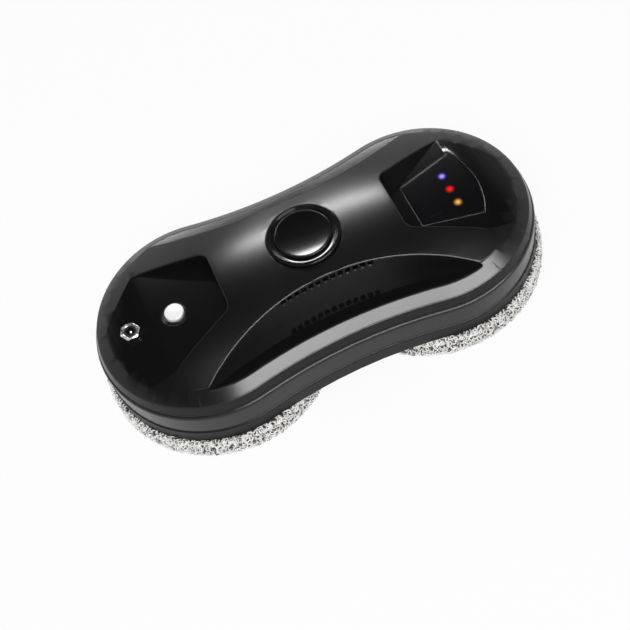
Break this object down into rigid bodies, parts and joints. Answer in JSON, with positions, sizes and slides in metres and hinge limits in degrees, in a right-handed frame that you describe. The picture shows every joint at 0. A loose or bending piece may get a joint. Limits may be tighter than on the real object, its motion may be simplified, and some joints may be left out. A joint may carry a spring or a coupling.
{
  "type": "window cleaning robot",
  "caption": "Figure-8 robot that holds itself to a window pane by suction and wipes it with round turning pads.",
  "frame": {"origin": "middle of the footprint, on the surface that the pads lie on", "axes": "+X along the body towards the light window, +Y across the body, +Z away from the glass"},
  "size_m": [0.309, 0.153, 0.0916],
  "materials": {
    "cover_black": "high gloss moulded",
    "base_black": "satin to gloss moulded",
    "seal_rubber": "matt",
    "button_white": "gloss",
    "nut_chrome": "polished",
    "window_black": "mirror gloss",
    "light_lens": "clear diffusing",
    "inner_plastic": "matt moulded",
    "gear_cream": "natural acetal",
    "spring_steel": "drawn",
    "motor_steel": "plated can",
    "bush_bronze": "sintered",
    "battery_blue": "shrink wrap",
    "board_green": "solder mask",
    "hook_fabric": "hook tape",
    "pad_microfibre": "looped microfibre"
  },
  "bodies": {
    "casing": {"top_cover": "cover_black", "side_shell": "cover_black", "base_shell": "base_black", "cover_gasket": "seal_rubber", "start_ring": "cover_black", "start_spring": "spring_steel", "start_switch": "inner_plastic", "power_well": "base_black", "power_spring": "spring_steel", "power_switch": "inner_plastic", "inlet_nut": "nut_chrome", "inlet_socket": "inner_plastic", "inlet_pin": "nut_chrome", "light_window": "window_black", "light_board": "board_green", "status_lights": "light_lens", "suction_duct": "inner_plastic", "fan_housing": "inner_plastic", "fan_motor": "motor_steel", "battery_pack": "battery_blue", "main_board": "board_green", "case_screws": "spring_steel", "gear_plate_left": "inner_plastic", "gear_plate_right": "inner_plastic", "drive_motor_left": "motor_steel", "drive_motor_right": "motor_steel", "idler_axle_left": "spring_steel", "idler_axle_right": "spring_steel", "hub_bush_left": "bush_bronze", "hub_bush_right": "bush_bronze"},
    "left_pad": {"cleaning_pad_left": "pad_microfibre", "hook_ring_left": "hook_fabric", "pad_wheel_left": "base_black", "output_gear_left": "gear_cream", "hub_clip_left": "spring_steel"},
    "right_pad": {"cleaning_pad_right": "pad_microfibre", "hook_ring_right": "hook_fabric", "pad_wheel_right": "base_black", "output_gear_right": "gear_cream", "hub_clip_right": "spring_steel"},
    "left_idler": {"idler_gear_left": "gear_cream"},
    "right_idler": {"idler_gear_right": "gear_cream"},
    "left_pinion": {"motor_pinion_left": "gear_cream"},
    "right_pinion": {"motor_pinion_right": "gear_cream"},
    "impeller": {"fan_impeller": "inner_plastic"},
    "start_push": {"start_button": "cover_black"},
    "power_push": {"power_button": "button_white"}
  },
  "joints": [
    {"name": "left_pad_spin", "type": "hinge", "parent": "casing", "child": "left_pad", "pos_m": [-0.078, 0, 0], "axis": [0, 0, 1], "continuous": true},
    {"name": "left_idler_spin", "type": "hinge", "parent": "casing", "child": "left_idler", "pos_m": [-0.06364, -0.03947, 0], "axis": [0, 0, 1], "continuous": true},
    {"name": "left_pinion_spin", "type": "hinge", "parent": "casing", "child": "left_pinion", "pos_m": [-0.04603, -0.04321, 0], "axis": [0, 0, 1], "continuous": true},
    {"name": "right_pad_spin", "type": "hinge", "parent": "casing", "child": "right_pad", "pos_m": [0.078, 0, 0], "axis": [0, 0, 1], "continuous": true},
    {"name": "right_idler_spin", "type": "hinge", "parent": "casing", "child": "right_idler", "pos_m": [0.06364, 0.03947, 0], "axis": [0, 0, 1], "continuous": true},
    {"name": "right_pinion_spin", "type": "hinge", "parent": "casing", "child": "right_pinion", "pos_m": [0.04603, 0.04321, 0], "axis": [0, 0, 1], "continuous": true},
    {"name": "impeller_spin", "type": "hinge", "parent": "casing", "child": "impeller", "pos_m": [0, 0, 0.05], "axis": [0, 0, 1], "continuous": true},
    {"name": "start_press", "type": "slide", "parent": "casing", "child": "start_push", "axis": [0, 0, -1], "range_m": [0, 0.0015], "stiffness_N_per_m": 600, "springref_m": -0.001},
    {"name": "power_press", "type": "slide", "parent": "casing", "child": "power_push", "axis": [0, 0, -1], "range_m": [0, 0.0015], "stiffness_N_per_m": 400, "springref_m": -0.001}
  ],
  "couplings": [
    {"joint": "left_idler_spin", "follows": "left_pad_spin", "ratio": -2.5},
    {"joint": "left_pinion_spin", "follows": "left_pad_spin", "ratio": 5},
    {"joint": "right_idler_spin", "follows": "right_pad_spin", "ratio": -2.5},
    {"joint": "right_pinion_spin", "follows": "right_pad_spin", "ratio": 5}
  ]
}
